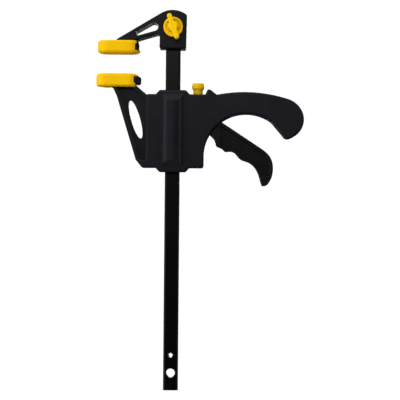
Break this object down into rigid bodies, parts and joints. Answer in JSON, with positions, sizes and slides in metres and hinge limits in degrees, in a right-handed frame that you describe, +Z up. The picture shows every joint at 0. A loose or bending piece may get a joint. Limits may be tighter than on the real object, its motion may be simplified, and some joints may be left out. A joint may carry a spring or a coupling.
{
  "type": "quick release bar clamp",
  "caption": "One-hand bar clamp: flat bar, fixed jaw held by a wing knob, sliding pistol-grip handle with moving jaw, squeeze trigger and release button.",
  "frame": {"origin": "centre of the hanging hole near the bar's bottom end, on the bar's middle plane", "axes": "+Z up along the bar to the fixed jaw, +X from the jaws to the pistol grip, +Y away from the face with the wing knob"},
  "size_m": [0.1667, 0.0306, 0.3048],
  "materials": {
    "bar_coating": "satin black coated steel",
    "zinc_steel": "zinc plated",
    "spring_steel": "drawn spring wire",
    "hard_steel": "hardened and oiled",
    "jaw_plastic": "satin moulded, glass filled",
    "shell_plastic": "satin moulded, glass filled",
    "trigger_plastic": "satin moulded",
    "pad_rubber": "soft matte yellow",
    "knob_plastic": "satin moulded yellow",
    "button_plastic": "satin moulded yellow"
  },
  "bodies": {
    "bar_and_fixed_jaw": {"bar": "bar_coating", "stop_pin": "zinc_steel", "fixed_jaw": "jaw_plastic", "fixed_jaw_pad": "pad_rubber", "jaw_nut": "zinc_steel", "knob_washer": "zinc_steel"},
    "knob": {"wing_knob": "knob_plastic", "knob_screw": "zinc_steel"},
    "handle": {"front_shell": "shell_plastic", "rear_shell": "shell_plastic", "shell_screws": "zinc_steel", "moving_jaw_pad": "pad_rubber", "trigger_pin": "zinc_steel", "drive_spring": "spring_steel", "brake_spring": "spring_steel"},
    "trigger": {"trigger": "trigger_plastic"},
    "drive": {"drive_plate_upper": "hard_steel", "drive_plate_lower": "hard_steel"},
    "brake": {"brake_plate": "hard_steel"},
    "button": {"release_button": "button_plastic"}
  },
  "joints": [
    {"name": "knob_turn", "type": "hinge", "parent": "bar_and_fixed_jaw", "child": "knob", "pos_m": [0, -0.0086, 0.2768], "axis": [0, -1, 0], "continuous": true},
    {"name": "handle_slide", "type": "slide", "parent": "bar_and_fixed_jaw", "child": "handle", "axis": [0, 0, 1], "range_m": [-0.1441, 0.0154]},
    {"name": "trigger_squeeze", "type": "hinge", "parent": "handle", "child": "trigger", "pos_m": [0.0225, 0, 0.2016], "axis": [0, -1, 0], "range_deg": [0, 19], "stiffness_Nm_per_rad": 0.1, "springref_deg": -28.65},
    {"name": "drive_slide", "type": "slide", "parent": "handle", "child": "drive", "axis": [0, 0, -1], "range_m": [0, 0.0036], "deforming": ["drive_spring"]},
    {"name": "button_press", "type": "slide", "parent": "handle", "child": "button", "axis": [0, 0, -1], "range_m": [0, 0.003], "stiffness_N_per_m": 1500, "springref_m": -0.001, "deforming": ["brake_spring"]},
    {"name": "brake_tilt", "type": "hinge", "parent": "handle", "child": "brake", "pos_m": [-0.013, 0, 0.21495], "axis": [0, 1, 0], "range_deg": [0, 5.4]}
  ],
  "couplings": [
    {"joint": "drive_slide", "follows": "trigger_squeeze", "m_per_rad": 0.0106},
    {"joint": "brake_tilt", "follows": "button_press", "rad_per_m": 31.2}
  ]
}
